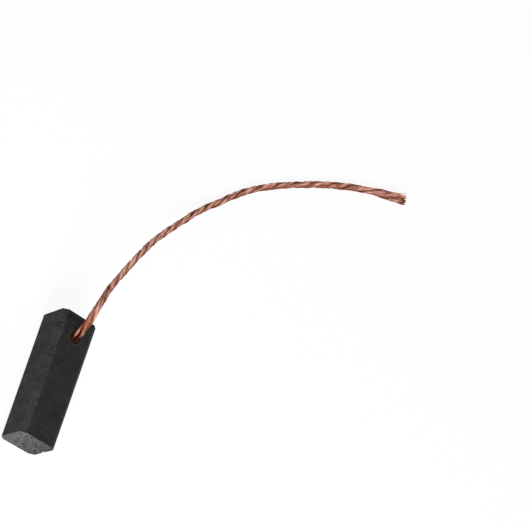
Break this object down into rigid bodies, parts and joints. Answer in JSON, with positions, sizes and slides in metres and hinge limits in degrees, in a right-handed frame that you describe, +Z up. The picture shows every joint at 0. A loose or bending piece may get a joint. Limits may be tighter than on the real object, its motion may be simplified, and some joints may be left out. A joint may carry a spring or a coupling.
{
  "type": "carbon brush",
  "caption": "Square carbon brush block with chamfered long edges and a bare twisted copper lead tamped into a side hole.",
  "frame": {"origin": "under the middle of the carbon block, on the surface that the brush lies on", "axes": "+X along the block from its contact end to its lead end, +Z up out of the lead hole"},
  "size_m": [0.0681, 0.049, 0.0103],
  "materials": {
    "carbon": "matte",
    "copper_powder": "matte",
    "copper_wire": "satin"
  },
  "bodies": {
    "root": {"carbon_block": "carbon", "tamping_plug": "copper_powder", "lead": "copper_wire"}
  },
  "joints": []
}
